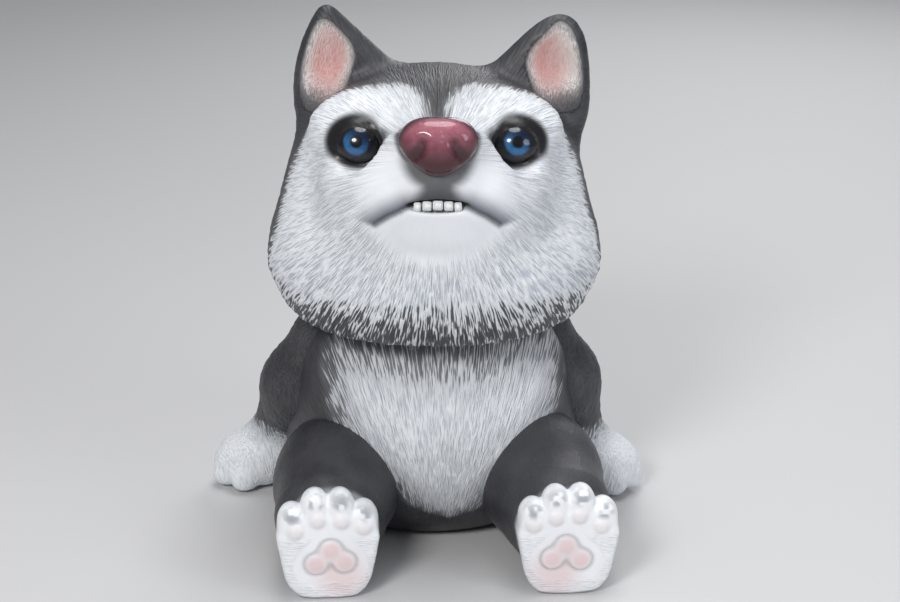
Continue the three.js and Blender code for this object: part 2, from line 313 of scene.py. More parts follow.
def plain_coat(x, **masks):
    """The masks given, with the rest of them zero."""
    blank = {name: 0 * x for name in ("black", "pink", "grey", "cream")}
    return {**blank, **masks}


def radial_flow(p, centre, axis, up, radius, stretch=11):
    """Fur that runs away from an axis: a place on a circle round it, and the distance from it, shortened."""
    axis = np.array(axis, float) / np.linalg.norm(axis)
    side = np.cross(up, axis)
    side /= np.linalg.norm(side)
    upward = np.cross(axis, side)
    q = p - centre
    x, y = q @ side, q @ upward
    reach = np.hypot(x, y) + 1e-6
    out = np.linalg.norm(q, axis=1)
    return np.stack([radius * x / reach, radius * y / reach, out / stretch], 1)


def to_row(turn=0.0):
    """From construction millimetres to the row frame in metres, turned about the neck."""
    neck = Matrix.Translation(Vector(NECK))
    place = Matrix.Translation(Vector(SHIFT))
    return Matrix.Scale(MM, 4) @ place @ neck @ Matrix.Rotation(turn, 4, "Z") @ neck.inverted()


BODY_TO_ROW = to_row()
HEAD_TO_ROW = to_row(HEAD_TURN)


# ---------------------------------------------------------------- materials


class Nodes:
    """A material's node tree, with short calls for the nodes used here."""

    def __init__(self, name):
        self.material = bpy.data.materials.new(name)
        self.material.use_nodes = True
        self.tree = self.material.node_tree
        self.shader = self.tree.nodes["Principled BSDF"]

    def add(self, kind, **settings):
        node = self.tree.nodes.new(kind)
        for key, value in settings.items():
            setattr(node, key, value)
        return node

    def link(self, value, socket):
        if isinstance(value, bpy.types.NodeSocket):
            self.tree.links.new(value, socket)
        else:
            socket.default_value = value

    def set(self, **values):
        for key, value in values.items():
            self.link(value, self.shader.inputs[key.replace("_", " ")])

    def attribute(self, name):
        return self.add("ShaderNodeAttribute", attribute_name=name)

    def math(self, operation, *values):
        node = self.add("ShaderNodeMath", operation=operation)
        for value, socket in zip(values, node.inputs):
            self.link(value, socket)
        return node.outputs[0]

    def mix(self, factor, a, b):
        node = self.add("ShaderNodeMix", data_type="RGBA")
        self.link(factor, node.inputs["Factor"])
        self.link(a, node.inputs[6])
        self.link(b, node.inputs[7])
        return node.outputs[2]

    def ramp(self, value, low, high):
        node = self.add("ShaderNodeMapRange", interpolation_type="SMOOTHSTEP")
        self.link(value, node.inputs["Value"])
        self.link(low, node.inputs["From Min"])
        self.link(high, node.inputs["From Max"])
        return node.outputs["Result"]

    def noise(self, vector, scale, detail):
        node = self.add("ShaderNodeTexNoise")
        self.link(vector, node.inputs["Vector"])
        self.link(scale, node.inputs["Scale"])
        self.link(detail, node.inputs["Detail"])
        return node.outputs["Fac"]

    def bump(self, height, strength, distance):
        node = self.add("ShaderNodeBump")
        self.link(height, node.inputs["Height"])
        self.link(strength, node.inputs["Strength"])
        node.inputs["Distance"].default_value = distance
        self.link(node.outputs["Normal"], self.shader.inputs["Normal"])


def rgb(red, green, blue):
    return (red, green, blue, 1.0)


WHITE = rgb(0.88, 0.91, 0.95)
WHITE_GROOVE = rgb(0.44, 0.49, 0.58)
CHARCOAL = rgb(0.022, 0.022, 0.027)
CHARCOAL_RIDGE = rgb(0.058, 0.058, 0.068)
PINK = rgb(0.66, 0.27, 0.25)
# Grey: painted shade above the lip line, on the jaw, on the belly's sides, on the chest under the head and
# above the wrists; also the grey toe tips and where the white feet run into the dark legs.
GREY = rgb(0.105, 0.118, 0.15)
CREAM = rgb(0.74, 0.65, 0.61)
BLACK = rgb(0.008, 0.008, 0.010)
# The airbrushed, painted shadow round and under the nose and in the groove round each sole's pad, and the
# tinge on the crown.
SHADOW = rgb(0.035, 0.033, 0.038)
DUST = rgb(0.35, 0.36, 0.38)
NOSE_PINK = rgb(0.36, 0.125, 0.165)
NOSE_SPECKLE = rgb(0.22, 0.06, 0.09)
# Painted shade on the nose's lower half.
NOSE_SHADE = rgb(0.045, 0.007, 0.012)
NOSE_RIM = rgb(0.012, 0.008, 0.010)
NOSTRIL_INSIDE = rgb(0.014, 0.004, 0.006)


def coat_material():
    """Airbrushed vinyl: white or charcoal fur strokes, with tints and painted shade where the masks say."""
    n = Nodes("airbrushed_vinyl")
    coat = n.attribute("coat")
    tint_and_shade = n.attribute("tint_and_shade")
    flow = n.attribute("flow").outputs["Vector"]
    coat_parts = n.add("ShaderNodeSeparateColor")
    n.link(coat.outputs["Color"], coat_parts.inputs[0])
    tint_parts = n.add("ShaderNodeSeparateColor")
    n.link(tint_and_shade.outputs["Color"], tint_parts.inputs[0])
    dark, black, pink = coat_parts.outputs
    grey, cream, wash = tint_parts.outputs
    fur = coat.outputs["Alpha"]

    broad = n.noise(flow, 2.1, 0.0)
    fine = n.noise(flow, 4.4, 1.0)
    height = n.math("ADD", n.math("MULTIPLY", broad, 0.7), n.math("MULTIPLY", fine, 0.3))
    ridge = n.ramp(height, 0.34, 0.52)
    edges = n.math("MULTIPLY", n.ramp(dark, 0.0, 0.25), n.ramp(dark, 1.0, 0.86))
    mixed = n.math("MULTIPLY", edges, n.math("MULTIPLY", fur, 4.5))
    lift = n.math("MULTIPLY", n.math("SUBTRACT", 0.5, height), mixed)
    streaked = n.ramp(n.math("ADD", dark, lift), 0.30, 0.70)
    darkness = n.add("ShaderNodeMix", data_type="FLOAT")
    n.link(n.math("MULTIPLY", fur, 0.85), darkness.inputs[0])
    n.link(dark, darkness.inputs[2])
    n.link(streaked, darkness.inputs[3])

    grooves = n.math("MULTIPLY", n.math("SUBTRACT", 1.0, ridge), n.math("MULTIPLY", fur, 0.85))
    white = n.mix(grooves, WHITE, WHITE_GROOVE)
    ridges = n.math("MULTIPLY", ridge, n.math("MULTIPLY", fur, 0.8))
    charcoal = n.mix(ridges, CHARCOAL, CHARCOAL_RIDGE)
    colour = n.mix(darkness.outputs[0], white, charcoal)
    cream = n.math("MULTIPLY", cream, n.math("ADD", n.math("MULTIPLY", ridge, 0.25), 0.75))
    colour = n.mix(cream, colour, CREAM)
    colour = n.mix(pink, colour, PINK)
    # Grey, partly painted shade and partly the grey toe tips.
    colour = n.mix(grey, colour, GREY)
    # Painted shadow round and under the nose and in the sole grooves, and the crown's tinge.
    colour = n.mix(wash, colour, SHADOW)
    place = n.add("ShaderNodeTexCoord").outputs["Object"]
    cloud = n.ramp(n.noise(place, 60.0, 3.0), 0.2, 0.8)
    colour = n.mix(n.math("MULTIPLY", cloud, 0.10), colour, DUST)
    colour = n.mix(black, colour, BLACK)

    grain = n.noise(place, 1500.0, 2.0)
    rough = n.math("ADD", n.math("MULTIPLY", grain, 0.12), 0.44)
    n.set(Base_Color=colour, Roughness=n.math("SUBTRACT", rough, n.math("MULTIPLY", black, 0.2)))
    n.set(Specular_IOR_Level=0.45, Coat_Weight=0.12, Coat_Roughness=0.35)
    relief = n.math("ADD", n.math("MULTIPLY", height, fur), n.math("MULTIPLY", grain, 0.03))
    n.bump(relief, 0.9, 0.0022)
    return n.material


COAT = coat_material()


def simple_material(name, colour, roughness, grain_scale=900.0, grain_depth=0.0001, **settings):
    """One colour with a little grain in its tone, roughness and relief."""
    n = Nodes(name)
    place = n.add("ShaderNodeTexCoord").outputs["Object"]
    grain = n.noise(place, grain_scale, 3.0)
    darker = rgb(*(channel * 0.8 for channel in colour[:3]))
    n.set(Base_Color=n.mix(grain, colour, darker))
    n.set(Roughness=n.math("ADD", n.math("MULTIPLY", grain, 0.08), roughness - 0.04), **settings)
    n.bump(grain, 0.4, grain_depth)
    return n.material


# ---------------------------------------------------------------- head

EYE = np.array([30.2, -45.4, 175.6])
EYE_RADII = np.array([9.8, 8.8, 8.7])
GAZE = np.array([0.10, -0.93, 0.35])
NOSE = np.array([0, -80, 183.6])
LIP = [(24, 150.2), (18.5, 154.8), (11.5, 159.3), (0, 161.5)]
MUZZLE_FROM = np.array([0, -52, 163])
MUZZLE_AXIS = (0, -0.88, 0.47)

skull = blend(
    18,
    ellipsoid((0, -4, 150), (60, 53, 46)),
    ellipsoid((28, -10, 121), (40, 46, 30)),
    ellipsoid((-28, -10, 121), (40, 46, 30)),
    ellipsoid((0, -32, 124), (46, 35, 30)),
    ellipsoid((0, 8, 120), (44, 38, 32)),
    ellipsoid((0, -10, 106), (55, 45, 16)),
)
muzzle = blend(
    9,
    round_cone((0, -34, 152), 36, (0, -64, 174), 16.5),
    ellipsoid((0, -58, 149), (26, 15.5, 13)),
    ellipsoid((12, -65, 162), (13.5, 10.5, 10)),
    ellipsoid((-12, -65, 162), (13.5, 10.5, 10)),
)
brows = [ellipsoid((side * 25, -30, 179), (23, 17, 11.5)) for side in (1, -1)]
lids = [ellipsoid((side * EYE[0], EYE[1] + 2.7, EYE[2]), EYE_RADII + (2.3, 0.7, 1.9)) for side in (1, -1)]
hollows = [ellipsoid((side * EYE[0], -54, 176.2), (10.4, 8.8, 8.6)) for side in (1, -1)]
cheeks = [ellipsoid((side * 25, -47, 158), (15, 12, 14)) for side in (1, -1)]
flanks = [round_cone((side * 8, -66, 176), 9, (side * 23, -50, 158), 13) for side in (1, -1)]
face = carve(5, blend(17, skull, *brows, *cheeks, blend(9, muzzle, *flanks)), *hollows)
face = blend(3.5, face, *lids)

mouth_hole = ellipsoid((0, -76.5, 159.6), (11.8, 7, 2.9))
philtrum = chain([(0, -83, 172), (0, -81.5, 163)], 1.0)


def ear_middle(z):
    """How far back the ear's middle is."""
    return 6 - (z - 190) * 0.03


def ear_shapes(side, outer_edge, curl, inner_edge, tip, leaf_at, leaf_size):
    """The ear's outside, a rounded triangle between two edges, and the leaf-shaped hollow in it."""
    inner_slope = 0.79
    across, rise = -math.cos(inner_slope), math.sin(inner_slope)

    def outline(p, inset_outer, inset_inner, k):
        x, z = side * p[:, 0], p[:, 2]
        outer = x - outer_edge + np.maximum(z - 184, 0) ** 2 * curl + np.maximum(182 - z, 0) ** 2 * 0.012
        outer = outer + inset_outer
        inner = (x - inner_edge[0]) * across + (z - inner_edge[1]) * rise + inset_inner
        return smooth_max(k, outer, inner)

    def front_face(p):
        z = p[:, 2]
        return ear_middle(z) - np.interp(z, [165, 190, 222], [11, 7.5, 4.5])

    def body(p):
        y, z = p[:, 1], p[:, 2]
        middle = ear_middle(z)
        thickness = np.abs(y - middle) - (middle - front_face(p))
        return np.maximum(smooth_max(9, outline(p, 0, 0, tip), thickness), 158 - z)

    def leaf(p):
        """Below zero inside the hollow's outline, as seen from the front."""
        x, z = side * p[:, 0] - leaf_at[0], p[:, 2] - leaf_at[1]
        lean = 0.28
        u, v = x * math.cos(lean) + z * math.sin(lean), z * math.cos(lean) - x * math.sin(lean)
        oval = (np.sqrt((u / leaf_size[0]) ** 2 + (v / leaf_size[1]) ** 2) - 1) * leaf_size[0]
        return smooth_max(5, outline(p, 2.2, 4.5, 8), oval)

    def hollow(p):
        d = leaf(p)
        depth = 6.5 * smooth(174, 196, p[:, 2])
        dish = np.where(d < 0, depth * (1 - np.exp(d / 5)), -2.5 * d)
        return p[:, 1] - front_face(p) + 1.2 - dish + 20 * smooth(190, 172, p[:, 2])

    return body, hollow, leaf


EARS = [
    ear_shapes(1, 63.5, 0.005, (42.5, 213.8), 22, (49, 196), (12.5, 25)),
    ear_shapes(-1, 57.5, 0.0085, (47.0, 225.5), 8, (46, 199), (14, 28)),
]
ears = carve(2.0, blend(1, EARS[0][0], EARS[1][0]), EARS[0][1], EARS[1][1])
head_core = carve(1.6, blend(6, face, ears), mouth_hole, philtrum)


def distance_to_lip(p):
    """How far a place is from the line of the lips, seen from the front."""
    x, z = np.abs(p[:, 0]), p[:, 2]
    nearest = np.full(len(p), 1e3)
    for (ax, az), (bx, bz) in zip(LIP[:-1], LIP[1:]):
        along = ((x - ax) * (bx - ax) + (z - az) * (bz - az)) / ((bx - ax) ** 2 + (bz - az) ** 2)
        along = np.clip(along, 0, 1)
        nearest = np.minimum(nearest, np.hypot(x - ax - along * (bx - ax), z - az - along * (bz - az)))
    return nearest


def with_lips(p):
    return head_core(p) + 1.0 * np.exp(-((distance_to_lip(p) / 1.1) ** 2)) * smooth(-46, -54, p[:, 1])


head_shape = keep_below(3, with_lips, 2, -93.2, -1)


def head_paint(p):
    x, y, z = p.T
    ax = np.abs(x)
    soft = (lattice_noise(p / 7, 11) - 0.5) * 4
    front = smooth(-30, -38, y)

    # The crown, sides and back are charcoal, with a wedge down to the nose and a dark ruff under the chin.
    edge_y = np.interp(z, [95, 120, 160, 175, 188, 196], [-26, -21, -17, -19.5, -23.5, -26]) + soft
    dark = smooth(-7, 5, y - edge_y)
    wedge = np.interp(y, [-78, -60, -40, -30, -24, -18], [6.5, 3.5, 5, 9, 15, 26])
    dark = np.maximum(dark, smooth(4, -4, ax - wedge) * smooth(172, 180, z))
    dark = np.maximum(dark, 0.85 * smooth(121, 99, z + 0.05 * (ax - 30) + soft))
    ear = np.minimum(EARS[0][0](p), EARS[1][0](p))
    dark = np.maximum(dark, smooth(3, 0, ear) * smooth(170, 178, z))

    leaf = np.minimum(EARS[0][2](p), EARS[1][2](p))
    facing = smooth(6, 2, y + (z - 190) * 0.03) * smooth(-16, -8, y)
    in_ear = smooth(0.5, -4.5, leaf) * smooth(174, 190, z) * facing
    middle = np.where(x > 0, 45.5, 42.5) - 0.10 * (z - 200)
    blush = smooth(10.5, 2, np.hypot(ax - middle, (z - 195) / 2.1))
    base = smooth(197, 178, z)
    dark = dark * (1 - in_ear * (1 - 0.85 * base))
    cream = in_ear * (1 - 0.85 * base)
    pink = 0.88 * in_ear * blush * (1 - 0.7 * base)

    # Black airbrush round each eye, drawn out towards the nose.
    from_eye = np.stack([ax, y, z], 1) - EYE
    oval = np.linalg.norm((from_eye - (0, 0.5, 0.6)) / (12.4, 10.4, 10.6), axis=1)
    black = smooth(1.22, 0.95, oval) * front
    corner = np.hypot((ax - 19.5) / 6.5, (z - 180 - 0.3 * (ax - 19)) / 4.0) + smooth(-58, -64, y)
    black = np.maximum(black, 0.7 * smooth(1.3, 0.3, corner) * front)

    # Painted shade: dark grey round and under the nose, down to the lip, which is edged too.
    under_nose = np.hypot(x / 14.5, (z - 178.5) / 12.5) + 0.5 * smooth(-74, -60, y)
    shadow = 0.9 * smooth(1.15, 0.72, under_nose)
    rim = np.hypot(x / 15.6, (z - 185.6) / 12.2)
    shadow = np.maximum(shadow, 0.9 * smooth(1.14, 0.98, rim) * smooth(-60, -66, y))
    half = np.interp(z, [159, 163, 167, 174], [13, 8, 6.5, 8])
    stripe = smooth(half + 3.5, half - 3, ax) * smooth(158, 161, z) * smooth(186, 178, z)
    shadow = np.maximum(shadow, 0.9 * stripe * smooth(-56, -64, y))
    lip = distance_to_lip(p)
    lip_x, lip_z = zip(*reversed(LIP))
    upper = smooth(-1.5, 1.5, z - np.interp(ax, lip_x, lip_z))
    # Painted shade in grey along and above the lip line, and on the jaw below it.
    grey = smooth(3 + 6.5 * upper, 0.3, lip) * (0.4 + 0.58 * upper) * front
    jaw = np.hypot(x / 25, (z - 148) / 11) + smooth(-62, -50, y) * 2
    grey = np.maximum(grey, 0.16 * smooth(1.15, 0.6, jaw))
    black = np.maximum(black, smooth(0.4, -0.6, mouth_hole(p)) * front)
    black = np.maximum(black, 0.55 * smooth(1.5, 0.4, lip) * front)

    bare = np.sqrt((x / 25) ** 2 + ((z - 160) / 22) ** 2 + ((y + 72) / 14) ** 2)
    fur = 1 - 0.9 * smooth(1.5, 0.9, bare)
    fur *= 1 - 0.9 * smooth(1.25, 0.9, oval) * front
    fur *= 0.62 + 0.38 * smooth(150, 112, z)
    fur *= 1 - 0.5 * smooth(-20, 0, y)
    fur = np.where(in_ear > 0.3, 0.5, fur)
    brown = 0.30 * smooth(30, 10, np.hypot(x, y + 22)) * smooth(180, 192, z)
    flow = radial_flow(p, MUZZLE_FROM, MUZZLE_AXIS, (0, 0, 1), 42)
    ear_flow = np.stack([x * 1.1 - z * 0.15, y, z / 6], 1)
    flow = np.where((in_ear > 0.05)[:, None], ear_flow, flow)
    return {
        "dark": dark,
        "black": np.clip(black, 0, 1),
        "pink": pink,
        "grey": np.clip(grey, 0, 1),
        "cream": cream,
        "fur": np.clip(fur, 0, 1),
        "wash": np.clip(np.maximum(shadow, brown), 0, 1),
        "flow": flow,
    }


HOLLOW_STEP = 3.0


def shape_cutter(shape, low, high):
    vertices, faces = surface(shape, low, high, HOLLOW_STEP)
    return mesh_object("cutter", vertices, faces)


def box_cutter(size, centre):
    bpy.ops.mesh.primitive_cube_add(size=1, location=centre)
    item = bpy.context.object
    item.scale = size
    return item


def rod_cutter(radius, low, high, x=0.0, y=0.0):
    place = (x, y, (low + high) / 2)
    bpy.ops.mesh.primitive_cylinder_add(vertices=96, radius=radius, depth=high - low, location=place)
    return bpy.context.object


def head_cutters():
    hollow = keep_below(1, grown(skull, -4), 2, -96, -1)
    return [
        shape_cutter(hollow, (-64, -66, 92), (64, 58, 196)),
        rod_cutter(21, 80, 104, NECK[0], NECK[1]),
        box_cutter((36, 30, 5), (0, 50, 158)),
    ]


head = sculpted(
    "puppy_head",
    head_shape,
    (-74, -88, 88),
    (74, 62, 226),
    0.8,
    head_paint,
    COAT,
    HEAD_TO_ROW,
    head_cutters(),
)
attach(head, "head")


def neck_tube():
    """The head's neck, with the flange that holds it in the body."""
    tube = [(21.2, 94.5), (24.5, 94.5), (24.5, 88.4)]
    flange = [(27.7, 88.0), (28, 87.6), (28, 86), (27.5, 85.6), (21.2, 85.6)]
    item = turned("neck_tube", tube + flange)
    item.data.transform(Matrix.Translation(Vector((NECK[0], NECK[1], 0))))
    return item


def turned(name, profile, segments=96):
    """A ring of revolution about +Z from a closed outline of (radius, height) pairs."""
    mesh = bpy.data.meshes.new(name)
    bm = bmesh.new()
    points = [bm.verts.new((r, 0, h)) for r, h in profile]
    edges = [bm.edges.new(pair) for pair in zip(points, points[1:] + points[:1])]
    bmesh.ops.spin(bm, geom=points + edges, cent=(0, 0, 0), axis=(0, 0, 1), angle=math.tau, steps=segments)
    bmesh.ops.remove_doubles(bm, verts=bm.verts, dist=1e-4)
    bmesh.ops.recalc_face_normals(bm, faces=bm.faces)
    bm.to_mesh(mesh)
    bm.free()
    mesh.shade_smooth()
    mesh.set_sharp_from_angle(angle=math.radians(40))
    item = bpy.data.objects.new(name, mesh)
    bpy.context.scene.collection.objects.link(item)
    return item


bare_vinyl = simple_material("bare_vinyl", rgb(0.30, 0.31, 0.34), 0.55)
neck = neck_tube()
neck.data.transform(HEAD_TO_ROW)
neck.data.materials.append(bare_vinyl)
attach(neck, "head")
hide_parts("head_shell")


# ---------------------------------------------------------------- nose, teeth and eyes

nose_body = blend(
    6,
    ellipsoid(NOSE + (0, 0.5, 2.5), (9, 7.5, 8.5)),
    ellipsoid(NOSE + (7, 1.5, 2.6), (7.8, 6.5, 7.8)),
    ellipsoid(NOSE + (-7, 1.5, 2.6), (7.8, 6.5, 7.8)),
    ellipsoid(NOSE + (0, 1, -4), (7.8, 6.5, 6.8)),
)
NOSTRIL = [(6.4, -87.6, 188.0), (7.2, -87.6, 185.4), (9.8, -85.4, 181.4)]
NOSTRIL_RADIUS = 2.3
NOSTRIL_PAINT_RADIUS = 1.9
nose_shape = carve(
    2.2,
    nose_body,
    chain(NOSTRIL, NOSTRIL_RADIUS),
    chain(mirror(NOSTRIL), NOSTRIL_RADIUS),
    chain([(0, -87.4, 193), (0, -88.4, 186), (0, -88.2, 180), (0, -86, 173)], 0.8),
)


def nose_material():
    n = Nodes("nose_lacquer")
    masks = n.add("ShaderNodeSeparateColor")
    n.link(n.attribute("coat").outputs["Color"], masks.inputs[0])
    low, rim, hole = masks.outputs
    place = n.add("ShaderNodeTexCoord").outputs["Object"]
    speckle = n.ramp(n.noise(place, 500.0, 3.0), 0.35, 0.75)
    pink = n.mix(n.math("MULTIPLY", speckle, 0.4), NOSE_PINK, NOSE_SPECKLE)
    # Painted shade over the nose's lower half and back, from the first mask.
    colour = n.mix(low, pink, NOSE_SHADE)
    colour = n.mix(rim, colour, NOSE_RIM)
    colour = n.mix(hole, colour, NOSTRIL_INSIDE)
    n.set(Base_Color=colour, Roughness=0.3, Specular_IOR_Level=0.15, Coat_Weight=0.75, Coat_Roughness=0.03)
    n.bump(n.noise(place, 450.0, 2.0), 0.6, 0.0008)
    return n.material


def nose_paint(p):
    x, y, z = p.T
    outline = np.sqrt((x / 15.2) ** 2 + ((z - 184.6) / 11.6) ** 2)
    hole = np.minimum(*[chain(line, NOSTRIL_PAINT_RADIUS)(p) for line in (NOSTRIL, mirror(NOSTRIL))])
    # Painted shade: darker over the lower half and at the back.
    low = np.maximum(0.97 * smooth(193, 178, z - 0.2 * np.abs(x)), smooth(-80, -77, y))
    behind = 0.95 * smooth(-81.5, -79, y) - 0.35 * smooth(-77, -72, y)
    rim = np.maximum(behind, 0.9 * smooth(0.88, 1.04, outline))
    inside = 0.95 * smooth(1.2, 0.0, hole)
    # The nose's material reads these masks as its lower half and back darkened as painted shade, its rim and
    # its nostrils.
    return plain_coat(x, dark=low, black=rim, pink=inside, fur=0 * x, flow=p)


nose = sculpted(
    "puppy_nose", nose_shape, (-20, -94, 168), (20, -66, 202), 0.45, nose_paint, nose_material(), HEAD_TO_ROW
)
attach(nose, "head")
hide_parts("nose")


def teeth_object():
    """Five rounded upper teeth along the arch of the lip."""
    widths = [3.3, 3.9, 4.3, 3.9, 3.3]
    bm = bmesh.new()
    edge = -sum(widths) / 2
    for width in widths:
        x = edge + width / 2
        edge += width
        z = 160.2 - 0.035 * abs(x) ** 1.6
        y = -75.9 + 0.02 * x * x
        place = Matrix.Translation((x, y, z)) @ Matrix.Rotation(math.radians(-2.0 * x / 4), 4, "Y")
        made = bmesh.ops.create_cube(bm, size=1, matrix=place @ Matrix.Diagonal((width - 0.45, 2.0, 3.6, 1)))
        edges = list({e for v in made["verts"] for e in v.link_edges})
        bmesh.ops.bevel(bm, geom=edges, offset=0.35, segments=3, affect="EDGES")
    mesh = bpy.data.meshes.new("puppy_teeth")
    bm.to_mesh(mesh)
    bm.free()
    mesh.shade_smooth()
    item = bpy.data.objects.new("puppy_teeth", mesh)
    bpy.context.scene.collection.objects.link(item)
    return item


teeth = teeth_object()
teeth.data.transform(HEAD_TO_ROW)
enamel = simple_material("teeth_enamel", rgb(0.90, 0.91, 0.92), 0.2, Coat_Weight=0.8, Coat_Roughness=0.08)
teeth.data.materials.append(enamel)
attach(teeth, "head")
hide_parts("upper_teeth")


def eye_material():
    """A painted blue iris and black pupil on a black ball, under gloss. Local +Z is the gaze."""
    n = Nodes("painted_eye")
    place = n.add("ShaderNodeTexCoord").outputs["Object"]
    parts = n.add("ShaderNodeSeparateXYZ")
    n.link(place, parts.inputs[0])
    x, y, z = parts.outputs
    radius = n.math("SQRT", n.math("ADD", n.math("MULTIPLY", x, x), n.math("MULTIPLY", y, y)))
    front = n.math("GREATER_THAN", z, 0.0)
    angle = n.math("ARCTAN2", y, x)
    spokes = n.add("ShaderNodeCombineXYZ")
    n.link(n.math("COSINE", angle), spokes.inputs[0])
    n.link(n.math("SINE", angle), spokes.inputs[1])
    n.link(n.math("MULTIPLY", radius, 120.0), spokes.inputs[2])
    fibres = n.ramp(n.noise(spokes.outputs[0], 9.0, 3.0), 0.3, 0.7)
    lit = n.ramp(n.math("ADD", n.math("MULTIPLY", x, -0.6), n.math("MULTIPLY", y, -1.0)), -0.0045, 0.0045)
    blue = n.mix(lit, rgb(0.003, 0.010, 0.040), rgb(0.018, 0.105, 0.28))
    blue = n.mix(n.math("MULTIPLY", n.math("MULTIPLY", fibres, 0.5), lit), blue, rgb(0.05, 0.27, 0.55))
    edge = n.ramp(radius, 0.0043, 0.0056)
    colour = n.mix(edge, blue, BLACK)
    pupil = n.ramp(radius, 0.0030, 0.0019)
    colour = n.mix(pupil, colour, rgb(0.002, 0.002, 0.004))
    colour = n.mix(front, BLACK, colour)
    n.set(Base_Color=colour, Roughness=0.3, Specular_IOR_Level=0.2, Coat_Weight=0.8, Coat_Roughness=0.02)
    return n.material


def clear_material():
    n = Nodes("clear_dome")
    place = n.add("ShaderNodeTexCoord").outputs["Object"]
    haze = n.noise(place, 300.0, 2.0)
    n.set(Base_Color=n.mix(haze, rgb(0.01, 0.012, 0.016), rgb(0.006, 0.008, 0.012)))
    n.set(Roughness=0.02, Alpha=0.08)
    n.material.surface_render_method = "BLENDED"
    return n.material


EYE_PAINT = eye_material()
CLEAR = clear_material()


def ball(name, radii):
    bpy.ops.mesh.primitive_uv_sphere_add(segments=96, ring_count=64, radius=1)
    item = bpy.context.object
    item.name = name
    item.data.transform(Matrix.Diagonal((*[r * MM for r in radii], 1)))
    item.data.shade_smooth()
    return item


for name, side in (("left", 1), ("right", -1)):
    gaze = Vector((side * GAZE[0], GAZE[1], GAZE[2])).normalized()
    centre = Vector((side * EYE[0], EYE[1], EYE[2]))
    turn = gaze.to_track_quat("Z", "Y").to_matrix().to_4x4()
    head_turn = Matrix.Rotation(HEAD_TURN, 4, "Z")
    place = Matrix.Translation(HEAD_TO_ROW @ centre) @ head_turn @ turn
    eyeball = ball(f"{name}_eyeball", (EYE_RADII[0], EYE_RADII[2], EYE_RADII[1]))
    eyeball.matrix_world = place
    eyeball.data.materials.append(EYE_PAINT)
    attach(eyeball, "head")
    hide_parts(f"{name}_eye_cup", f"{name}_iris")
    dome = ball(f"{name}_clear_dome", (EYE_RADII[0] + 0.25, EYE_RADII[2] + 0.25, EYE_RADII[1] + 0.35))
    dome.matrix_world = place
    dome.data.materials.append(CLEAR)
    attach(dome, "head")
    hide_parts(f"{name}_eye_dome")


# ---------------------------------------------------------------- body, limbs and tail

body_shape = blend(
    16,
    ellipsoid((0, 4, 38), (62, 45, 42)),
    ellipsoid((0, 6, 18), (57, 43, 22)),
    ellipsoid((0, 0, 68), (56, 43, 39)),
    ellipsoid((0, -10, 46), (46, 38, 38)),
)
torso_shape = keep_below(1.2, keep_below(2.5, body_shape, 2, 92), 2, -1.8, -1)


def torso_paint(p):
    x, y, z = p.T
    wobble = (lattice_noise(p / 6, 21) - 0.5) * 4
    half = np.interp(z, [12, 15, 20, 30, 38, 45, 55, 65, 75, 90], [-6, 2, 12, 20, 27, 35, 43, 46, 46, 43])
    dark = smooth(-9, 7, np.abs(x - 3.5) - half + wobble)
    dark = np.maximum(dark, smooth(-14, -4, y))
    neck = 0.7 * smooth(68, 86, z - 0.06 * np.abs(x) + wobble)
    dark = np.maximum(dark, neck)
    side = smooth(0, 14, np.abs(x - 3.5) - half)
    fur = 0.72 - 0.45 * np.maximum(side, smooth(-20, -5, y))
    fur *= smooth(3, 9, z)
    flow = radial_flow(p, np.array([0, -20, -22]), (0, -1, 0), (0, 0, 1), 92)
    shade = np.maximum(0.4 * smooth(-16, 0, np.abs(x - 3.5) - half), 0.35 * smooth(60, 82, z))
    return plain_coat(x, dark=dark, grey=shade * (1 - dark), fur=fur, flow=flow)


def torso_cutters():
    hollow = keep_below(1, keep_below(1, grown(body_shape, -3), 2, 89), 2, -10.8, -1)
    return [
        shape_cutter(hollow, (-64, -48, 6), (64, 54, 94)),
        rod_cutter(25, 80, 100, NECK[0], NECK[1]),
        rod_cutter(20, -5, 20),
        rod_cutter(24.5, -5, 5.4),
    ]


torso = sculpted(
    "puppy_body",
    torso_shape,
    (-66, -50, -3),
    (66, 56, 96),
    0.85,
    torso_paint,
    COAT,
    BODY_TO_ROW,
    torso_cutters(),
)
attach(torso, "body")
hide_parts("body_shell")


# The middle of each front paw. The puppy's right one reaches further out and back.
PAWS = {1: np.array((75, 13, 14.5)), -1: np.array((-76, 29, 14.0))}


def arm_shape(side):
    paw = PAWS[side]
    wrist = paw * (0.84, 0.88, 1) + (0, 0, 14)
    shape = blend(
        9,
        round_cone((side * 43, 4, 76), 17, (side * 55, 8, 55), 16),
        round_cone((side * 55, 8, 55), 16, wrist, 12.5),
        ellipsoid(paw - (side * 3, 0, 0), (14.5, 14, 14)),
        ellipsoid(paw + (side * 7, 0, -2.5), (10.5, 9.5, 9)),
    )
    toe_places = ((5, -9.5), (12.5, -2.5), (9.5, 6.5))
    toes = [ellipsoid(paw + (side * x, y, -7.5), (6, 5, 6)) for x, y in toe_places]
    shape = blend(3, shape, *toes)
    return keep_below(2, keep_below(2, shape, 2, 90.5), 2, -0.4, -1)


def arm_paint(side):
    def paint(p):
        x, y, z = p.T
        soft = (lattice_noise(p / 5, 31) - 0.5) * 5
        height = z - 0.12 * (side * x - 62) + soft
        dark = smooth(26, 37, height)
        fur = np.interp(z, [0, 6, 28, 36, 55, 95], [0.15, 0.35, 0.5, 0.8, 0.6, 0.5])
        flow = np.stack([side * x * 0.8 - z * 0.2, y * 0.8, (z + 0.3 * side * x) / 14], 1)
        shade = 0.35 * smooth(20, 31, height) * (1 - dark)
        return plain_coat(x, dark=dark, grey=shade, fur=fur, flow=flow)

    return paint


FOOT_X = 47.5
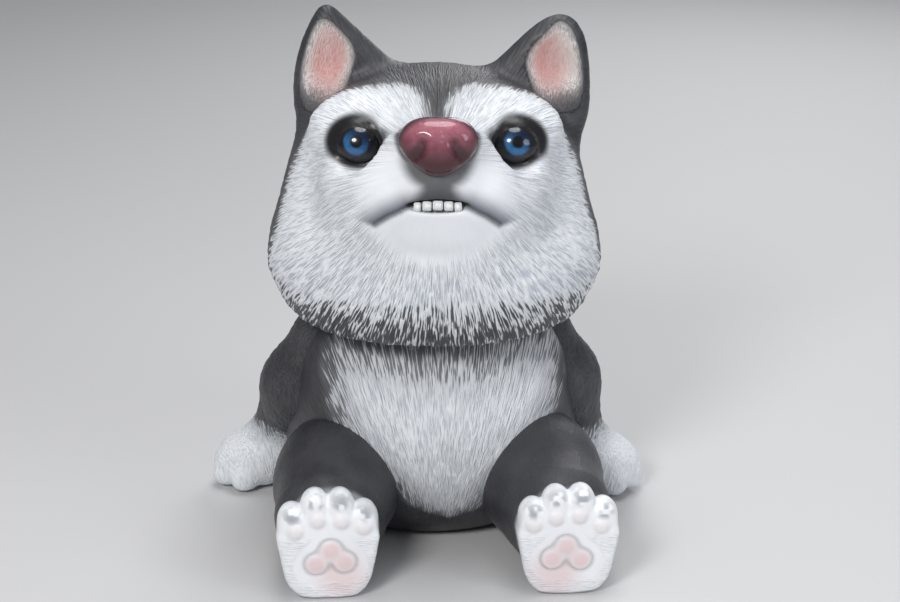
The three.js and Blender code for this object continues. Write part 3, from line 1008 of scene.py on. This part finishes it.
# The puppy's left foot reaches a little further forward.
SOLE_Y = {1: -87.5, -1: -85.0}
TREFOIL = [((-1.0, 21.4), 4.9), ((-6.4, 16.2), 4.8), ((4.8, 15.6), 4.8)]
TOE_PADS = [(-14.0, 31.2), (-5.4, 34.0), (4.0, 34.6), (12.8, 30.0)]
TOES = [(-14.0, 34.3), (-4.9, 39.4), (4.9, 39.6), (14.0, 33.8)]


def trefoil_distance(x, z, k=3.0):
    """How far a place on the sole is outside the three-lobed pad."""
    lobes = [np.hypot(x - cx, z - cz) - r for (cx, cz), r in TREFOIL]
    d = lobes[0]
    for lobe in lobes[1:]:
        d = smooth_min(k, d, lobe)
    return d


def sole_block(side):
    """The flat front of the foot, narrower towards the floor."""

    def distance(p):
        x, y, z = np.abs(side * p[:, 0] - FOOT_X), p[:, 1], p[:, 2]
        width = (x - np.interp(z, [0, 26], [15.6, 20.4])) * 0.98
        upright = smooth_max(13, width, np.abs(z - 18) - 19)
        return smooth_max(4, upright, np.abs(y - SOLE_Y[side] - 9) - 10)

    return distance


def leg_shape(side):
    sole = SOLE_Y[side]
    toes = [ellipsoid((side * (FOOT_X + x), sole + 6.5, z - 1.5), (5.9, 8.5, 7.6)) for x, z in TOES]
    shape = blend(
        1.5,
        blend(
            11,
            ellipsoid((side * 42, -28, 27), (25, 30, 27)),
            round_cone((side * 43, -40, 26), 23, (side * 46, -60, 24), 20.5),
            round_cone((side * 46, -60, 22.5), 19, (side * 47.5, sole + 13, 19.5), 15),
        ),
        sole_block(side),
        *toes,
    )
    shape = keep_below(2.2, shape, 1, -sole, -1)
    pads = [ellipsoid((side * (FOOT_X + x), sole + 0.8, z), (3.3, 2.0, 3.4)) for x, z in TOE_PADS]
    shape = blend(0.8, shape, *pads)

    def distance(p):
        d = shape(p)
        edge = trefoil_distance(side * p[:, 0] - FOOT_X, p[:, 2])
        on_sole = smooth(sole + 5, sole + 2, p[:, 1])
        groove = 0.7 * np.exp(-((edge / 0.7) ** 2))
        dome = 0.45 * smooth(0.5, -5, edge)
        return d + on_sole * (groove - dome)

    return keep_below(1.5, distance, 2, -0.4, -1)


def leg_paint(side):
    def paint(p):
        x, y, z = p.T
        wobble = (lattice_noise(p / 4, 41) - 0.5) * 2
        across = side * x - FOOT_X
        front = SOLE_Y[side]
        dark = smooth(front + 9, front + 15, y + wobble)
        sole = smooth(front + 6, front + 2.5, y)
        edge = trefoil_distance(across, z)
        pink = 0.42 * smooth(1.0, -3, edge) * sole
        pads = np.min([np.hypot(across - cx, z - cz) for cx, cz in TOE_PADS], axis=0)
        pink = np.maximum(pink, 0.12 * smooth(4.5, 2, pads) * sole)
        stain = 0.34 * smooth(15, 3, np.hypot(across + 5, z - 11)) * sole
        pink = np.maximum(pink, stain * smooth(-3, 1, edge))
        # Painted shade in the groove round the trefoil pad.
        wash = 0.34 * np.exp(-((edge / 0.7) ** 2)) * sole
        toe_tips = np.min([np.hypot((across - cx) / 1.2, z - cz - 2.6) for cx, cz in TOES], axis=0)
        toe_top = smooth(4.4, 1.2, toe_tips) * smooth(0.38, 0.62, lattice_noise(p / 2.0, 43))
        grey = 0.62 * toe_top * smooth(front + 11, front + 5, y)
        grey = np.maximum(grey, 0.5 * smooth(front + 6, front + 11, y) * (1 - dark))
        fur = np.maximum(0.28 * sole * smooth(3.5, 5, edge) * smooth(29, 25, z), 0.16 * (1 - sole))
        flow = np.stack([x * 0.16, y * 0.3, z * 0.9], 1)
        thigh = np.stack([x * 0.9, z * 0.9, y / 6], 1)
        flow = np.where((y > front + 11)[:, None], thigh, flow)
        cream = 0.10 * sole
        return plain_coat(x, dark=dark, pink=pink, grey=grey, cream=cream, fur=fur, wash=wash, flow=flow)

    return paint


def tail_shape():
    return blend(
        10,
        round_cone((0, 46, 26), 11, (4, 57, 25), 11),
        round_cone((4, 57, 25), 11, (9, 61, 42), 12.5),
        round_cone((9, 61, 42), 12.5, (4, 58, 62), 6),
    )


def tail_paint(p):
    x, y, z = p.T
    wobble = (lattice_noise(p / 5, 51) - 0.5) * 8
    dark = smooth(58, 50, z + wobble)
    turn = np.arctan2(y - 60, x - 6)
    flow = np.stack([14 * np.cos(turn), 14 * np.sin(turn), z / 6], 1)
    return plain_coat(x, dark=dark, fur=0 * x + 0.8, flow=flow)


def outside_body(shape, gap=-1.6):
    """The shape outside the body, with its inner end sunk a little into the body's wall."""
    return lambda p: np.maximum(shape(p), gap - body_shape(p))


for name, side in (("left", 1), ("right", -1)):
    low, high = sorted((side * 30, side * 98))
    arm = sculpted(
        f"{name}_front_leg",
        outside_body(arm_shape(side)),
        (low, -18, -2),
        (high, 50, 96),
        0.8,
        arm_paint(side),
        COAT,
        BODY_TO_ROW,
    )
    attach(arm, "body")
    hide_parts(f"{name}_arm")
    low, high = sorted((side * 14, side * 74))
    leg = sculpted(
        f"{name}_hind_leg",
        outside_body(leg_shape(side)),
        (low, -93, -2),
        (high, 4, 58),
        0.7,
        leg_paint(side),
        COAT,
        BODY_TO_ROW,
    )
    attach(leg, "body")
    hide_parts(f"{name}_leg")

tail = sculpted(
    "puppy_tail", outside_body(tail_shape()), (-16, 34, 8), (28, 80, 72), 0.8, tail_paint, COAT, BODY_TO_ROW
)
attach(tail, "body")
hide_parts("tail")


# ---------------------------------------------------------------- stopper and pads

rubber = simple_material("black_rubber", rgb(0.022, 0.022, 0.023), 0.7, grain_depth=0.0002)
foam = simple_material("foam_pad", rgb(0.03, 0.03, 0.032), 0.9, grain_scale=2500.0, grain_depth=0.0003)
frame["nodes"]["stopper"].data.materials.clear()
frame["nodes"]["stopper"].data.materials.append(rubber)
for node in ("front_left_pad", "front_right_pad", "rear_left_pad", "rear_right_pad"):
    frame["nodes"][node].data.materials.clear()
    frame["nodes"][node].data.materials.append(foam)
for node, item in frame["nodes"].items():
    if node != "stopper" and not node.endswith("_pad"):
        item.data.materials.clear()
        item.data.materials.append(bare_vinyl)


# ---------------------------------------------------------------- stage, lights and camera


def floor_object():
    bpy.ops.mesh.primitive_plane_add(size=8, location=(0, 0, 0))
    item = bpy.context.object
    item.name = "floor"
    pale = simple_material("pale_floor", rgb(0.66, 0.66, 0.67), 0.6, grain_scale=3000.0)
    item.data.materials.append(pale)
    return item


floor_object()

TARGET = Vector((4.4, -30, 105)) * MM + Vector(SHIFT) * MM
AZIMUTH, ELEVATION, DISTANCE = math.radians(-5), math.radians(20), 0.9
ROLL = math.radians(0.5)


def area_light(name, place, size, power, colour=(1, 1, 1)):
    data = bpy.data.lights.new(name, "AREA")
    data.shape = "DISK"
    data.size = size
    data.energy = power
    data.color = colour
    item = bpy.data.objects.new(name, data)
    item.location = place
    item.rotation_euler = (TARGET - Vector(place)).to_track_quat("-Z", "Y").to_euler()
    bpy.context.scene.collection.objects.link(item)


area_light("key", (-0.45, -0.85, 0.75), 0.34, 7.5, (1.0, 0.99, 0.97))
area_light("fill", (0.75, -0.65, 0.45), 0.5, 2.6, (0.95, 0.97, 1.0))
area_light("top", (0.05, 0.05, 1.1), 0.6, 5.5)
area_light("back", (0.4, 0.9, 0.6), 0.6, 3.0)

world = bpy.data.worlds.new("studio")
world.use_nodes = True
world.node_tree.nodes["Background"].inputs["Color"].default_value = (0.86, 0.88, 0.92, 1)
world.node_tree.nodes["Background"].inputs["Strength"].default_value = 0.26
bpy.context.scene.world = world
bpy.context.scene.view_settings.view_transform = "Standard"

camera = bpy.data.objects.new("camera", bpy.data.cameras.new("camera"))
back = Vector(
    (
        math.sin(AZIMUTH) * math.cos(ELEVATION),
        -math.cos(AZIMUTH) * math.cos(ELEVATION),
        math.sin(ELEVATION),
    )
)
camera.location = TARGET + back * DISTANCE
upright = (-back).to_track_quat("-Z", "Y")
camera.rotation_euler = (upright @ Quaternion((0, 0, 1), ROLL)).to_euler()
camera.data.lens = 88.9  # millimetres
camera.data.sensor_width = 36
bpy.context.scene.collection.objects.link(camera)
bpy.context.scene.camera = camera
